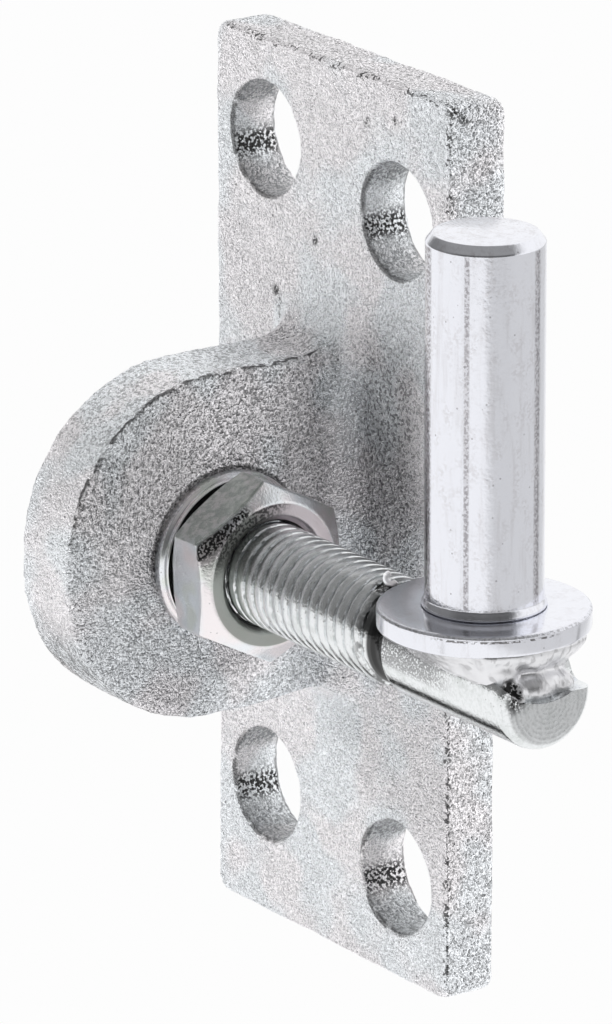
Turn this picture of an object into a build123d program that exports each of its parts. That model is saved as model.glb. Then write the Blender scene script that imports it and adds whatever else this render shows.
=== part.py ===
from build123d import *
import math
import os

# Adjustable plate hinge: a wall plate cast with a lug, a threaded shank held in
# the lug by a nut and a washer on each side, and an upright pin welded to the
# end of the shank. +Z is up along the pin, the plate's back lies on Y = 0 and
# its front looks along -Y. The origin is the middle of the back of the plate.

# Wall plate
PLATE_WIDTH = 45.6
PLATE_HEIGHT = 105.0
PLATE_THICKNESS = 6.6
PLATE_CORNER_RADIUS = 1.8
PLATE_FRONT_ROUNDING = 0.5
PLATE_BACK_ROUNDING = 0.9

# Screw holes: two columns, with the left one set higher than the right one
HOLE_DIAMETER = 13.0
HOLE_SIDE_MARGIN = 9.9
HOLE_END_MARGIN = 13.8
HOLE_STAGGER = 3.8
HOLE_FRONT_CHAMFER = 0.4
HOLE_BACK_CHAMFER = 1.0

# Lug: a round-nosed slab that stands out from the plate
LUG_THICKNESS = 9.8
LUG_SIDE_SHIFT = -2.05
LUG_RADIUS = 19.6
LUG_NOSE_CENTRE = 24.1
LUG_EDGE_ROUNDING = 0.5
ROOT_FILLET = 5.0

# Threaded shank
SHANK_DIAMETER = 11.9
SHANK_STANDOFF = 22.6
SHANK_DROP = 1.7
BORE_CLEARANCE = 0.55
BORE_CHAMFER = 0.6
TAIL_LENGTH = 8.0
TAIL_CHAMFER = 1.2
SHANK_END_ROUNDING = 1.4
SHANK_END_OVERHANG = 11.9

# Nuts and washers
NUT_ACROSS_FLATS = 18.7
NUT_HEIGHT = 7.0
NUT_FACE_DIAMETER = 16.8
NUT_CHAMFER_ANGLE = 30.0
NUT_TURN = 32.7
NUT_COUNTERSINK = 0.9
THREAD_CLEARANCE = 0.06
WASHER_DIAMETER = 19.6
WASHER_THICKNESS = 2.4
WASHER_CLEARANCE = 0.55
WASHER_CHAMFER = 0.4

# Pin
PIN_DIAMETER = 13.0
PIN_AXIS_X = 52.4
PIN_HEIGHT = 41.7
PIN_CHAMFER_HEIGHT = 0.95
PIN_CHAMFER_WIDTH = 0.75
PIN_RELIEF_DEPTH = 0.25
PIN_RELIEF_BELOW = 0.2
PIN_RELIEF_ABOVE = 0.4

# Collar that the hinge eye rests on
COLLAR_DIAMETER = 23.4
COLLAR_THICKNESS = 2.5
COLLAR_CHAMFER = 0.6
COLLAR_CLEARANCE = 0.05
COLLAR_TOP_Z = 5.8

# Weld between the pin, the collar and the shank
SEAT_HEIGHT = 0.4
SEAT_CLEARANCE = 0.05
WELD_TOP_REACH = 10.6
WELD_TOP_SPREAD = 9.4
WELD_WAIST_REACH = 9.6
WELD_WAIST_SPREAD = 7.7
WELD_WAIST_SHARE = 0.45
WELD_TOE_REACH = 9.9
WELD_TOE_SPREAD = 6.6
WELD_SIDE_SHIFT = 0.8

os.makedirs("parts", exist_ok=True)


def save(piece, name):
    """Label one finished piece and write it as its own file."""
    piece.part.label = name
    export_step(piece.part, f"parts/{name}.step")


def flat_front(piece):
    """The flat face of a piece that lies furthest towards -Y."""
    return piece.faces().filter_by(Axis.Y).sort_by(Axis.Y)[0]


def flat_back(piece):
    """The flat face of a piece that lies furthest towards +Y."""
    return piece.faces().filter_by(Axis.Y).sort_by(Axis.Y)[-1]


def closed_edges(face):
    """The full circles among the inner edges of a face."""
    return face.inner_wires().edges().filter_by(lambda e: e.is_closed)


def round_edges(piece):
    """The circular edges of a piece in groups of one radius, smallest first."""
    return piece.edges().filter_by(GeomType.CIRCLE).group_by(SortBy.RADIUS)


# Places that several pieces share
lug_left_x = LUG_SIDE_SHIFT - LUG_THICKNESS / 2
lug_right_x = LUG_SIDE_SHIFT + LUG_THICKNESS / 2
shank_centre = (-SHANK_STANDOFF, -SHANK_DROP)
shank_radius = SHANK_DIAMETER / 2
pin_radius = PIN_DIAMETER / 2
collar_radius = COLLAR_DIAMETER / 2
collar_bottom_z = COLLAR_TOP_Z - COLLAR_THICKNESS
seat_z = SEAT_HEIGHT - SHANK_DROP
nut_seats = (("near", lug_right_x, 1), ("far", lug_left_x, -1))

# One casting: plate, lug, root fillets, screw holes and cross bore
with BuildPart() as bracket:
    with BuildSketch(Plane.XZ):
        RectangleRounded(PLATE_WIDTH, PLATE_HEIGHT, PLATE_CORNER_RADIUS)
    extrude(amount=PLATE_THICKNESS)

    with BuildSketch(Plane.YZ.offset(lug_left_x)):
        with BuildLine():
            top = Line((-PLATE_THICKNESS / 2, LUG_RADIUS), (-LUG_NOSE_CENTRE, LUG_RADIUS))
            CenterArc((-LUG_NOSE_CENTRE, 0), LUG_RADIUS, 90, 180)
            Line((-LUG_NOSE_CENTRE, -LUG_RADIUS), (-PLATE_THICKNESS / 2, -LUG_RADIUS))
            Line((-PLATE_THICKNESS / 2, -LUG_RADIUS), top @ 0)
        make_face()
    extrude(amount=LUG_THICKNESS)

    # Rounded rim of the lug, then the sweep of its root into the plate
    side_faces = bracket.faces().filter_by(Axis.X).sort_by(Axis.X)
    lug_faces = side_faces[1:-1]
    fillet(lug_faces.edges() - flat_front(bracket).inner_wires().edges(), LUG_EDGE_ROUNDING)
    fillet(flat_front(bracket).inner_wires().edges(), ROOT_FILLET)

    # Rounded border of the plate, front and back
    fillet(flat_front(bracket).outer_wire().edges(), PLATE_FRONT_ROUNDING)
    fillet(flat_back(bracket).outer_wire().edges(), PLATE_BACK_ROUNDING)

    # Four screw holes, opened out at the back
    column_x = PLATE_WIDTH / 2 - HOLE_SIDE_MARGIN
    row_z = PLATE_HEIGHT / 2 - HOLE_END_MARGIN
    hole_places = [
        (side * column_x, level * row_z - side * HOLE_STAGGER / 2)
        for side in (-1, 1)
        for level in (-1, 1)
    ]
    with BuildSketch(Plane.XZ):
        with Locations(*hole_places):
            Circle(HOLE_DIAMETER / 2)
    extrude(amount=PLATE_THICKNESS, mode=Mode.SUBTRACT)
    chamfer(closed_edges(flat_back(bracket)), HOLE_BACK_CHAMFER)
    chamfer(closed_edges(flat_front(bracket)), HOLE_FRONT_CHAMFER)

    # Cross bore that the shank passes through
    with BuildSketch(Plane.YZ.offset(lug_left_x)):
        with Locations(shank_centre):
            Circle(shank_radius + BORE_CLEARANCE)
    extrude(amount=LUG_THICKNESS, mode=Mode.SUBTRACT)
    lug_faces = bracket.faces().filter_by(Axis.X).sort_by(Axis.X)[1:-1]
    chamfer(lug_faces.edges().filter_by(lambda e: e.is_closed), BORE_CHAMFER)
save(bracket, "bracket")

# A washer and a thin nut on each side of the lug
nut_axis_plane = Plane(origin=(0, *shank_centre), x_dir=(1, 0, 0), z_dir=(0, -1, 0))
nut_axis = Axis((0, *shank_centre), (1, 0, 0))
corner_radius = NUT_ACROSS_FLATS / math.sqrt(3)
chamfer_drop = (corner_radius - NUT_FACE_DIAMETER / 2) * math.tan(math.radians(NUT_CHAMFER_ANGLE))

for side, lug_face_x, outward in nut_seats:
    with BuildPart() as washer:
        with BuildSketch(Plane.YZ.offset(lug_face_x)):
            with Locations(shank_centre):
                Circle(WASHER_DIAMETER / 2)
                Circle(shank_radius + WASHER_CLEARANCE, mode=Mode.SUBTRACT)
        extrude(amount=outward * WASHER_THICKNESS)
        chamfer(round_edges(washer)[-1], WASHER_CHAMFER)
    save(washer, f"{side}_washer")

    nut_start_x = lug_face_x + outward * WASHER_THICKNESS
    nut_end_x = nut_start_x + outward * NUT_HEIGHT
    with BuildPart() as nut:
        with BuildSketch(Plane.YZ.offset(nut_start_x)):
            with Locations(shank_centre):
                RegularPolygon(NUT_ACROSS_FLATS / 2, 6, major_radius=False, rotation=NUT_TURN)
        extrude(amount=outward * NUT_HEIGHT)
        with BuildSketch(nut_axis_plane):
            with BuildLine():
                Polyline(
                    (nut_start_x, 0),
                    (nut_start_x, NUT_FACE_DIAMETER / 2),
                    (nut_start_x + outward * chamfer_drop, corner_radius),
                    (nut_end_x - outward * chamfer_drop, corner_radius),
                    (nut_end_x, NUT_FACE_DIAMETER / 2),
                    (nut_end_x, 0),
                    close=True,
                )
            make_face()
        revolve(axis=nut_axis, mode=Mode.INTERSECT)
        with BuildSketch(Plane.YZ.offset(nut_start_x)):
            with Locations(shank_centre):
                Circle(shank_radius + THREAD_CLEARANCE)
        extrude(amount=outward * NUT_HEIGHT, mode=Mode.SUBTRACT)
        chamfer(round_edges(nut)[0], NUT_COUNTERSINK)
    save(nut, f"{side}_nut")

# Shank: a plain bar here, seated for the pin and the collar at its outer end
tail_x = lug_left_x - WASHER_THICKNESS - NUT_HEIGHT - TAIL_LENGTH
shank_end_x = PIN_AXIS_X + SHANK_END_OVERHANG
with BuildPart() as threaded_shank:
    with BuildSketch(Plane.YZ.offset(tail_x)):
        with Locations(shank_centre):
            Circle(shank_radius)
    extrude(amount=shank_end_x - tail_x)
    chamfer(threaded_shank.edges().sort_by(Axis.X)[0], TAIL_CHAMFER)
    fillet(threaded_shank.edges().sort_by(Axis.X)[-1], SHANK_END_ROUNDING)
    with BuildSketch(Plane.XY.offset(collar_bottom_z)):
        with Locations((PIN_AXIS_X, -SHANK_STANDOFF)):
            Circle(collar_radius)
        with Locations((PIN_AXIS_X + collar_radius, -SHANK_STANDOFF)):
            Rectangle(COLLAR_DIAMETER, SHANK_DIAMETER)
    extrude(amount=SHANK_DIAMETER, mode=Mode.SUBTRACT)
    with BuildSketch(Plane.XY.offset(seat_z)):
        with Locations((PIN_AXIS_X, -SHANK_STANDOFF)):
            Circle(pin_radius + SEAT_CLEARANCE)
        with Locations((PIN_AXIS_X + collar_radius, -SHANK_STANDOFF)):
            Rectangle(COLLAR_DIAMETER, SHANK_DIAMETER)
    extrude(amount=SHANK_DIAMETER, mode=Mode.SUBTRACT)
save(threaded_shank, "threaded_shank")

# Pin: turned bar that stands in the seat of the shank, with a shallow relief
# groove at its foot so that the hinge eye beds flat on the collar
pin_top_z = COLLAR_TOP_Z + PIN_HEIGHT
pin_plane = Plane(origin=(PIN_AXIS_X, -SHANK_STANDOFF, 0), x_dir=(1, 0, 0), z_dir=(0, -1, 0))
pin_axis = Axis((PIN_AXIS_X, -SHANK_STANDOFF, 0), (0, 0, 1))
with BuildPart() as hinge_pin:
    with BuildSketch(pin_plane):
        with BuildLine():
            Polyline(
                (0, seat_z),
                (pin_radius, seat_z),
                (pin_radius, COLLAR_TOP_Z - PIN_RELIEF_BELOW),
                (pin_radius - PIN_RELIEF_DEPTH, COLLAR_TOP_Z - PIN_RELIEF_BELOW),
                (pin_radius - PIN_RELIEF_DEPTH, COLLAR_TOP_Z + PIN_RELIEF_ABOVE),
                (pin_radius, COLLAR_TOP_Z + PIN_RELIEF_ABOVE),
                (pin_radius, pin_top_z - PIN_CHAMFER_HEIGHT),
                (pin_radius - PIN_CHAMFER_WIDTH, pin_top_z),
                (0, pin_top_z),
                close=True,
            )
        make_face()
    revolve(axis=pin_axis)
save(hinge_pin, "hinge_pin")

# Collar: a flat ring with its rim eased top and bottom
with BuildPart() as support_collar:
    with BuildSketch(Plane.XY.offset(collar_bottom_z)):
        with Locations((PIN_AXIS_X, -SHANK_STANDOFF)):
            Circle(collar_radius)
            Circle(pin_radius + COLLAR_CLEARANCE, mode=Mode.SUBTRACT)
    extrude(amount=COLLAR_THICKNESS)
    chamfer(round_edges(support_collar)[-1], COLLAR_CHAMFER)
save(support_collar, "support_collar")

# Weld: a hollow-faced bead that wraps the foot of the pin under the collar, runs
# out along both flanks of the shank and is fuller on the side of the plate
weld_waist_z = seat_z + (collar_bottom_z - seat_z) * WELD_WAIST_SHARE
with BuildPart() as weld_bead:
    for level, reach, spread in (
        (seat_z, WELD_TOE_REACH, WELD_TOE_SPREAD),
        (weld_waist_z, WELD_WAIST_REACH, WELD_WAIST_SPREAD),
        (collar_bottom_z, WELD_TOP_REACH, WELD_TOP_SPREAD),
    ):
        with BuildSketch(Plane.XY.offset(level)):
            with Locations((PIN_AXIS_X, WELD_SIDE_SHIFT - SHANK_STANDOFF)):
                Ellipse(reach, spread)
    loft()
    add(threaded_shank.part, mode=Mode.SUBTRACT)
    add(hinge_pin.part, mode=Mode.SUBTRACT)
save(weld_bead, "weld_bead")
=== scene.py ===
"""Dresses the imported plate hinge: casting, shank, nuts, washers, pin, collar and weld."""

import logging
import math
from dataclasses import dataclass
from enum import Enum
from typing import Mapping, Optional, Sequence, Union

import bpy
import numpy as np
from mathutils import Matrix, Vector


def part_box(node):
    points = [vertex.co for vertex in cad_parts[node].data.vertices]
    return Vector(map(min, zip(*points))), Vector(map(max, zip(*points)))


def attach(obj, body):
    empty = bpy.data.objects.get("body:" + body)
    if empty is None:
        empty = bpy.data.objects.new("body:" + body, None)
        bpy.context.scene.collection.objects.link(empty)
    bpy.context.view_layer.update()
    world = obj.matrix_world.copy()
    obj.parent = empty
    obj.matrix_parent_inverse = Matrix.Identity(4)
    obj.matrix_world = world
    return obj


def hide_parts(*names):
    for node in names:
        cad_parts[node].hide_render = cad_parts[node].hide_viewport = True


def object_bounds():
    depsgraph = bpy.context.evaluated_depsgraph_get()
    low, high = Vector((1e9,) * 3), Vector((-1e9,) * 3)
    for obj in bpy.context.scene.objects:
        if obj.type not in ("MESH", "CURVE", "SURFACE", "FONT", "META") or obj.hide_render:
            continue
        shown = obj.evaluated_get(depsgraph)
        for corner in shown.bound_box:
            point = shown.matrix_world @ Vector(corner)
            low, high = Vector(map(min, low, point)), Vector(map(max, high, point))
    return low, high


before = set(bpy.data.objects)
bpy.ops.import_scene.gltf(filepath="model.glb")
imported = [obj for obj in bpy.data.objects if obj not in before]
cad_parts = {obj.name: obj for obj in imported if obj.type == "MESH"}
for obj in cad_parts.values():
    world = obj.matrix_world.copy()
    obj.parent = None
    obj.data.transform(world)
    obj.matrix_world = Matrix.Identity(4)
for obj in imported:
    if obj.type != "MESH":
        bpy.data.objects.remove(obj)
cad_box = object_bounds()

LOG = logging.getLogger("plate_hinge")
MM = 0.001

Colour = tuple[float, float, float]
Place = tuple[float, float, float]
Spot = tuple[float, float]
# Where a smooth step starts and ends.
Span = tuple[float, float]
# A middle, the reach round it that is full, and the reach at which it ends.
Band = tuple[float, float, float]
Outline = Sequence[Spot]

# Y and Z of the shank's axis and of the middle of the lug's round, in millimetres.
SHANK_AXIS: Spot = (-22.6, -1.7)
LUG_NOSE: Spot = (-24.0, -0.9)
# X at which the thread runs out, in millimetres.
THREAD_END = 40.0
# Black for real soot, also used for painted shade next to the nut and in its recess.
SOOT_AND_SHADE_BLACK: Colour = (0.03, 0.03, 0.03)


class Axis(Enum):
    """The two directions that turned pieces are made along."""

    SHANK = "shank"
    PIN = "pin"

    @property
    def along(self) -> Vector:
        """Unit vector along the turned piece."""
        return Vector((1, 0, 0)) if self is Axis.SHANK else Vector((0, 0, 1))

    @property
    def side(self) -> Vector:
        """Unit vector across the turned piece, where its outline is drawn."""
        return Vector((0, 0, 1)) if self is Axis.SHANK else Vector((1, 0, 0))


@dataclass(frozen=True)
class Grain:
    """One layer of unevenness raised on a surface. Sizes in millimetres."""

    size: float
    height: float
    octaves: int = 2


@dataclass(frozen=True)
class Dent:
    """A smooth hollow in a surface and the share of soot in it. Sizes in millimetres."""

    place: Place
    radius: float
    depth: float
    soot: float = 0.8


@dataclass(frozen=True)
class Rounding:
    """How sharp edges are rounded: its width in millimetres, its faces and the least angle."""

    width: float
    segments: int
    angle: float


def ramp(values: np.ndarray, start: float, run: float) -> np.ndarray:
    """Returns 0 up to a start and 1 from a run beyond it, straight between them."""
    return np.clip((values - start) / run, 0, 1)


class Bench:
    """Hand tools that add, shape and finish one mesh at a time."""

    SOOT = "soot"
    MERGE_DISTANCE = 0.002 * MM

    @staticmethod
    def clear() -> None:
        """Leaves edit mode and deselects everything."""
        if bpy.context.object is not None and bpy.context.object.mode != "OBJECT":
            bpy.ops.object.mode_set(mode="OBJECT")
        bpy.ops.object.select_all(action="DESELECT")

    @staticmethod
    def take(piece: bpy.types.Object) -> None:
        """Makes one piece the only selected and active one.

        Args:
            piece: The object to work on.
        """
        Bench.clear()
        piece.select_set(True)
        bpy.context.view_layer.objects.active = piece

    @staticmethod
    def settle(piece: bpy.types.Object, name: str) -> bpy.types.Object:
        """Names a piece and moves its place into its mesh.

        Args:
            piece: The object to settle.
            name: The name that it gets.

        Returns:
            The same object.
        """
        Bench.take(piece)
        bpy.ops.object.transform_apply(location=True, rotation=True, scale=True)
        piece.name = name
        piece.data.name = name
        return piece

    @staticmethod
    def lathe(
        name: str, outline: Outline, pivot: Vector, axis: Axis, steps: int
    ) -> bpy.types.Object:
        """Draws an outline vertex by vertex and spins it into a turned piece.

        Args:
            name: The piece's name.
            outline: Pairs of place along the axis and radius, in millimetres.
            pivot: A point of the axis, from which the places are counted, in metres.
            axis: The direction of the axis.
            steps: The number of steps round the full turn.

        Returns:
            The closed, outward-facing piece.
        """
        points = [
            pivot + (axis.along * along + axis.side * radius) * MM for along, radius in outline
        ]
        Bench.clear()
        bpy.ops.mesh.primitive_plane_add(size=MM, location=points[0])
        piece = bpy.context.object
        bpy.ops.object.mode_set(mode="EDIT")
        bpy.ops.mesh.select_all(action="SELECT")
        bpy.ops.mesh.merge(type="CENTER")
        for here, there in zip(points, points[1:]):
            bpy.ops.mesh.extrude_region_move(TRANSFORM_OT_translate={"value": there - here})
        bpy.ops.mesh.select_all(action="SELECT")
        bpy.ops.mesh.spin(steps=steps, angle=2 * math.pi, center=pivot, axis=axis.along)
        Bench.close_up()
        return Bench.settle(piece, name)

    @staticmethod
    def close_up() -> None:
        """Merges the doubles of the mesh in edit mode and turns its faces outwards."""
        bpy.ops.mesh.select_all(action="SELECT")
        bpy.ops.mesh.remove_doubles(threshold=Bench.MERGE_DISTANCE)
        bpy.ops.mesh.normals_make_consistent(inside=False)
        bpy.ops.object.mode_set(mode="OBJECT")

    @staticmethod
    def copy_node(node: str, name: str) -> bpy.types.Object:
        """Makes a merged copy of a CAD node's mesh to work on.

        Args:
            node: The CAD node's name.
            name: The copy's name.

        Returns:
            The copy, as a piece of its own.
        """
        piece = bpy.data.objects.new(name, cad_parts[node].data.copy())
        bpy.context.scene.collection.objects.link(piece)
        piece.data.materials.clear()
        Bench.take(piece)
        bpy.ops.object.mode_set(mode="EDIT")
        Bench.close_up()
        return Bench.settle(piece, name)

    @staticmethod
    def apply(piece: bpy.types.Object, kind: str, **settings: object) -> None:
        """Adds one modifier and applies it at once.

        Args:
            piece: The object to change.
            kind: The modifier's type.
            **settings: The modifier's settings by name.
        """
        Bench.take(piece)
        modifier = piece.modifiers.new(kind.title(), kind)
        for setting, value in settings.items():
            setattr(modifier, setting, value)
        bpy.ops.object.modifier_apply(modifier=modifier.name)

    @staticmethod
    def reskin(piece: bpy.types.Object, cell: float, rounds: int) -> None:
        """Gives a piece an even skin of small faces with softened edges, as a dipped coat has.

        Args:
            piece: The object to change.
            cell: The size of a face, in millimetres.
            rounds: How many times the skin is smoothed.
        """
        Bench.apply(piece, "REMESH", mode="VOXEL", voxel_size=cell * MM, use_smooth_shade=True)
        Bench.apply(piece, "SMOOTH", factor=0.5, iterations=rounds)

    @staticmethod
    def roughen(piece: bpy.types.Object, grains: Sequence[Grain]) -> None:
        """Raises layers of cloud-shaped unevenness along the surface.

        Args:
            piece: The object to change.
            grains: The layers, from coarse to fine.
        """
        for layer, grain in enumerate(grains):
            cloud = bpy.data.textures.new(f"{piece.name}_grain_{layer}", "CLOUDS")
            cloud.noise_scale = grain.size * MM
            cloud.noise_depth = grain.octaves
            Bench.apply(
                piece,
                "DISPLACE",
                texture=cloud,
                texture_coords="LOCAL",
                strength=grain.height * MM,
                mid_level=0.5,
            )
            bpy.data.textures.remove(cloud)

    @staticmethod
    def points(piece: bpy.types.Object) -> np.ndarray:
        """Returns the vertices of a piece in millimetres, one row each."""
        flat = np.empty(3 * len(piece.data.vertices))
        piece.data.vertices.foreach_get("co", flat)
        return flat.reshape(-1, 3) / MM

    @staticmethod
    def set_points(piece: bpy.types.Object, points: np.ndarray) -> None:
        """Puts the vertices of a piece at new places, in millimetres."""
        piece.data.vertices.foreach_set("co", (points * MM).ravel())
        piece.data.update()

    @staticmethod
    def press(piece: bpy.types.Object, dents: Sequence[Dent]) -> None:
        """Presses smooth hollows into a piece, and marks their soot in an attribute.

        Args:
            piece: The object to change.
            dents: The hollows.
        """
        points = Bench.points(piece)
        normals = np.empty(3 * len(points))
        piece.data.vertices.foreach_get("normal", normals)
        normals = normals.reshape(-1, 3)
        soot = np.zeros(len(points))
        pressed = points.copy()
        for dent in dents:
            reach = np.linalg.norm(points - np.array(dent.place), axis=1) / dent.radius
            share = np.clip(1 - reach**2, 0, 1)
            touched = share > 0
            pressed[touched] -= normals[touched] * (dent.depth * share[touched] ** 2)[:, None]
            soot = np.maximum(soot, dent.soot * share)
        Bench.set_points(piece, pressed)
        layer = piece.data.attributes.new(Bench.SOOT, "FLOAT", "POINT")
        layer.data.foreach_set("value", soot)

    @staticmethod
    def soften(piece: bpy.types.Object, rounding: Rounding) -> None:
        """Rounds the sharp edges of a piece.

        Args:
            piece: The object to change.
            rounding: How its edges are rounded.
        """
        Bench.apply(
            piece,
            "BEVEL",
            width=rounding.width * MM,
            segments=rounding.segments,
            limit_method="ANGLE",
            angle_limit=math.radians(rounding.angle),
        )

    @staticmethod
    def shade(piece: bpy.types.Object, angle: float) -> None:
        """Shades a piece smooth except across edges sharper than an angle, in degrees."""
        Bench.take(piece)
        bpy.ops.object.shade_smooth_by_angle(angle=math.radians(angle))

    @staticmethod
    def slice_off(piece: bpy.types.Object, planes: Sequence[tuple[Place, Place]]) -> None:
        """Cuts a piece with planes, throws away what lies beyond them and closes the cuts.

        Args:
            piece: The object to cut.
            planes: A point of each plane, in millimetres, and the way that it faces.
        """
        Bench.take(piece)
        bpy.ops.object.mode_set(mode="EDIT")
        for place, facing in planes:
            bpy.ops.mesh.select_all(action="SELECT")
            bpy.ops.mesh.bisect(
                plane_co=Vector(place) * MM, plane_no=facing, use_fill=True, clear_outer=True
            )
        bpy.ops.object.mode_set(mode="OBJECT")

    @staticmethod
    def carve(piece: bpy.types.Object, cutter: bpy.types.Object) -> None:
        """Cuts one solid out of a piece and throws the cutter away.

        Args:
            piece: The object to cut.
            cutter: The solid to take out of it.
        """
        Bench.apply(piece, "BOOLEAN", operation="DIFFERENCE", solver="EXACT", object=cutter)
        mesh = cutter.data
        bpy.data.objects.remove(cutter)
        bpy.data.meshes.remove(mesh)


Value = Union[float, Sequence[float], "Signal"]


class Signal:
    """A socket that varies over a surface; arithmetic on it adds Math nodes."""

    def __init__(self, sheet: "NodeSheet", socket: bpy.types.NodeSocket) -> None:
        """Wraps one output socket of a sheet."""
        self.sheet = sheet
        self.socket = socket

    def _math(self, operation: str, *values: Value) -> "Signal":
        """Returns the result of one Math node on the given values."""
        return self.sheet.node("ShaderNodeMath", {"operation": operation}, dict(enumerate(values)))

    def __add__(self, other: Value) -> "Signal":
        """Returns this plus another value."""
        return self._math("ADD", self, other)

    __radd__ = __add__

    def __mul__(self, other: Value) -> "Signal":
        """Returns this times another value."""
        return self._math("MULTIPLY", self, other)

    __rmul__ = __mul__

    def __sub__(self, other: Value) -> "Signal":
        """Returns this less another value."""
        return self._math("SUBTRACT", self, other)

    def __rsub__(self, other: Value) -> "Signal":
        """Returns another value less this."""
        return self._math("SUBTRACT", other, self)

    def __truediv__(self, other: Value) -> "Signal":
        """Returns this over another value."""
        return self._math("DIVIDE", self, other)

    def __pow__(self, power: Value) -> "Signal":
        """Returns this to a power."""
        return self._math("POWER", self, power)

    def __abs__(self) -> "Signal":
        """Returns this without its sign."""
        return self._math("ABSOLUTE", self)

    def least(self, other: Value) -> "Signal":
        """Returns the lesser of this and another value."""
        return self._math("MINIMUM", self, other)

    def most(self, other: Value) -> "Signal":
        """Returns the greater of this and another value."""
        return self._math("MAXIMUM", self, other)

    def ripple(self, pitch: float) -> "Signal":
        """Returns even waves from 0 to 1 that repeat with a pitch."""
        return self._math("SINE", self * (2 * math.pi / pitch)) * 0.5 + 0.5

    def root(self) -> "Signal":
        """Returns the square root of this."""
        return self._math("SQRT", self)

    def rise(self, low: float, high: float) -> "Signal":
        """Returns 0 below low and 1 above high, with a smooth climb between them."""
        settings = {"interpolation_type": "SMOOTHSTEP"}
        sockets = {"Value": self, "From Min": low, "From Max": high}
        return self.sheet.node("ShaderNodeMapRange", settings, sockets)

    def fall(self, low: float, high: float) -> "Signal":
        """Returns 1 below low and 0 above high, with a smooth drop between them."""
        return 1 - self.rise(low, high)

    def near(self, middle: float, inner: float, outer: float) -> "Signal":
        """Returns 1 within inner of a middle and 0 farther from it than outer."""
        return abs(self - middle).fall(inner, outer)


class NodeSheet:
    """One node tree that is written as expressions."""

    def __init__(self, tree: bpy.types.NodeTree) -> None:
        """Starts an empty sheet on a tree."""
        self.tree = tree
        tree.nodes.clear()

    def node(
        self,
        kind: str,
        settings: Optional[Mapping[str, object]] = None,
        sockets: Optional[Mapping[Union[int, str], Value]] = None,
        output: Union[int, str] = 0,
    ) -> Signal:
        """Adds one node.

        Args:
            kind: The node's type.
            settings: Its settings, set before its sockets.
            sockets: Values or signals for its input sockets, by name or number.
            output: The output to return, by name or number.

        Returns:
            The chosen output.
        """
        made = self.tree.nodes.new(kind)
        for setting, value in (settings or {}).items():
            setattr(made, setting, value)
        for socket, value in (sockets or {}).items():
            target = made.inputs[socket]
            if isinstance(value, Signal):
                self.tree.links.new(value.socket, target)
            elif isinstance(value, (tuple, list)) and len(value) == 3 and target.type == "RGBA":
                target.default_value = (*value, 1.0)
            else:
                target.default_value = value
        return Signal(self, made.outputs[output] if len(made.outputs) else None)

    def place(self) -> Signal:
        """Returns the place on the piece, in metres."""
        return self.node("ShaderNodeTexCoord", output="Object")

    def ray(self, kind: str) -> Signal:
        """Returns 1 for one kind of light path, such as Is Camera Ray, and 0 for the rest."""
        return self.node("ShaderNodeLightPath", output=kind)

    def split(self, vector: Signal) -> tuple[Signal, Signal, Signal]:
        """Returns the three parts of a vector."""
        split = self.node("ShaderNodeSeparateXYZ", {}, {0: vector}).socket.node
        return tuple(Signal(self, part) for part in split.outputs)

    def parts(self) -> tuple[Signal, Signal, Signal]:
        """Returns the three coordinates of the place on the piece, in millimetres."""
        sockets = {0: self.place(), "Scale": 1 / MM}
        return self.split(self.node("ShaderNodeVectorMath", {"operation": "SCALE"}, sockets))

    @staticmethod
    def reach(first: Signal, second: Signal, centre: Spot) -> tuple[Signal, Signal, Signal]:
        """Counts two coordinates from a centre.

        Args:
            first: One coordinate, in millimetres.
            second: The other one.
            centre: The centre's two coordinates.

        Returns:
            Both coordinates counted from the centre, and the distance to it.
        """
        side, height = first - centre[0], second - centre[1]
        return side, height, (side * side + height * height).root()

    def noise(
        self,
        size: float,
        octaves: float = 2.0,
        rough: float = 0.5,
        stretch: Optional[Place] = None,
    ) -> Signal:
        """Adds a noise.

        Args:
            size: The size of its blobs, in millimetres.
            octaves: How many finer layers it has.
            rough: How strong the finer layers are.
            stretch: How many times closer it is along each axis, if not the same.

        Returns:
            The noise, about 0.5 on average.
        """
        where = self.place()
        if stretch is not None:
            where = self.node("ShaderNodeMapping", {}, {"Vector": where, "Scale": stretch})
        sockets = {"Vector": where, "Scale": 1 / (size * MM), "Detail": octaves}
        return self.node("ShaderNodeTexNoise", {}, {**sockets, "Roughness": rough})

    def flecks(self, spacing: float, inner: float, outer: float) -> Signal:
        """Scatters small round flecks.

        Args:
            spacing: About how far apart they lie, in millimetres.
            inner: The radius within which a fleck is full, as a share of the spacing.
            outer: The radius at which it ends, as a share of the spacing.

        Returns:
            1 on the flecks and 0 elsewhere.
        """
        sockets = {"Vector": self.place(), "Scale": 1 / (spacing * MM), "Randomness": 1.0}
        return self.node("ShaderNodeTexVoronoi", {"feature": "F1"}, sockets).fall(inner, outer)

    def soot(self, gain: float, crumble: Signal) -> Signal:
        """Returns the soot in a piece's pressed hollows, strengthened and broken up."""
        soot = self.node("ShaderNodeAttribute", {"attribute_name": Bench.SOOT}, output="Fac")
        return (soot * gain * crumble).least(1.0)

    def blend(self, mask: Value, first: Value, second: Value) -> Signal:
        """Returns the first colour where the mask is 0 and the second where it is 1."""
        sockets = {0: mask, 6: first, 7: second}
        return self.node("ShaderNodeMix", {"data_type": "RGBA"}, sockets, output=2)

    def bump(self, height: Signal, depth: float, under: Optional[Signal] = None) -> Signal:
        """Adds fine relief.

        Args:
            height: The relief, from 0 to 1.
            depth: The height of a step from 0 to 1, in millimetres.
            under: Coarser relief that this one lies on.

        Returns:
            The surface's direction.
        """
        sockets = {"Height": height, "Distance": depth * MM, "Strength": 1.0}
        if under is not None:
            sockets["Normal"] = under
        return self.node("ShaderNodeBump", {}, sockets)


@dataclass(frozen=True)
class Skin:
    """What a finish varies over a surface."""

    colour: Value
    roughness: Value
    normal: Signal


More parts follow.
